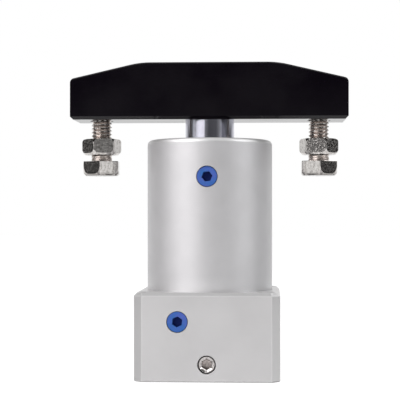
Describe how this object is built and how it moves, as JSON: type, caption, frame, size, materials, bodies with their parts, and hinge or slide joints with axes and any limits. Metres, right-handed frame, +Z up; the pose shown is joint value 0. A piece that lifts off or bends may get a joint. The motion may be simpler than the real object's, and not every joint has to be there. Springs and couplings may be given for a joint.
{
  "type": "rotary clamp cylinder",
  "caption": "Pneumatic rotary clamp cylinder: round tube on a square base, and a rod that turns as it rises, with a black double-ended arm and adjustable hexagon bolts.",
  "frame": {"origin": "centre of the base block's underside, which is the mounting face", "axes": "+Z up along the rod, +X along the clamp arm when clamped, -Y towards the ports and the set screw"},
  "size_m": [0.0782, 0.04, 0.0884],
  "materials": {
    "base_aluminium": "fine bead-blasted clear anodise",
    "tube_aluminium": "turned and clear anodised",
    "black_enamel": "smooth glossy black",
    "hard_chrome": "ground hard chrome",
    "stainless_bolts": "cold-formed stainless steel",
    "stainless_nuts": "cold-formed stainless steel",
    "stainless_set_screw": "bright stainless steel",
    "blue_plastic": "moulded satin",
    "black_oxide_screw": "black oxide, oiled",
    "seal_rubber": "matte",
    "bumper_rubber": "matte",
    "bronze_bushing": "sintered bronze",
    "piston_aluminium": "turned",
    "wear_ring_plastic": "filled bearing plastic",
    "hardened_steel": "hardened and ground"
  },
  "bodies": {
    "housing": {"base_block": "base_aluminium", "cylinder_tube": "tube_aluminium", "tube_o_ring": "seal_rubber", "guide_shaft": "hardened_steel", "shaft_o_ring": "seal_rubber", "shaft_set_screw": "stainless_set_screw", "port_plug_upper": "blue_plastic", "port_plug_lower": "blue_plastic", "lower_bumper": "bumper_rubber", "upper_bumper": "bumper_rubber", "rod_bushing": "bronze_bushing", "rod_seal": "seal_rubber", "rod_wiper": "seal_rubber"},
    "piston_rings": {"piston_seal": "seal_rubber", "wear_ring": "wear_ring_plastic"},
    "rod": {"piston_rod": "hard_chrome", "piston": "piston_aluminium", "piston_o_ring": "seal_rubber", "piston_nut": "hardened_steel", "guide_pins": "hardened_steel", "clamp_arm": "black_enamel", "arm_screw": "black_oxide_screw"},
    "left_bolt": {"left_clamp_bolt": "stainless_bolts"},
    "right_bolt": {"right_clamp_bolt": "stainless_bolts"},
    "left_nut": {"left_lock_nut": "stainless_nuts"},
    "right_nut": {"right_lock_nut": "stainless_nuts"}
  },
  "joints": [
    {"name": "rod_stroke", "type": "slide", "parent": "housing", "child": "piston_rings", "axis": [0, 0, 1], "range_m": [0, 0.024]},
    {"name": "rod_swing", "type": "hinge", "parent": "piston_rings", "child": "rod", "pos_m": [0, 0, 0.0268], "axis": [0, 0, 1], "range_deg": [0, 90]},
    {"name": "left_bolt_adjust", "type": "slide", "parent": "rod", "child": "left_bolt", "axis": [0, 0, 1], "range_m": [-0.005, 0.001]},
    {"name": "right_bolt_adjust", "type": "slide", "parent": "rod", "child": "right_bolt", "axis": [0, 0, 1], "range_m": [-0.005, 0.001]},
    {"name": "left_nut_travel", "type": "slide", "parent": "rod", "child": "left_nut", "axis": [0, 0, 1], "range_m": [-0.0006, 0.005]},
    {"name": "right_nut_travel", "type": "slide", "parent": "rod", "child": "right_nut", "axis": [0, 0, 1], "range_m": [-0.0006, 0.005]}
  ],
  "couplings": [
    {"joint": "rod_swing", "follows": "rod_stroke", "rad_per_m": 65.45}
  ]
}
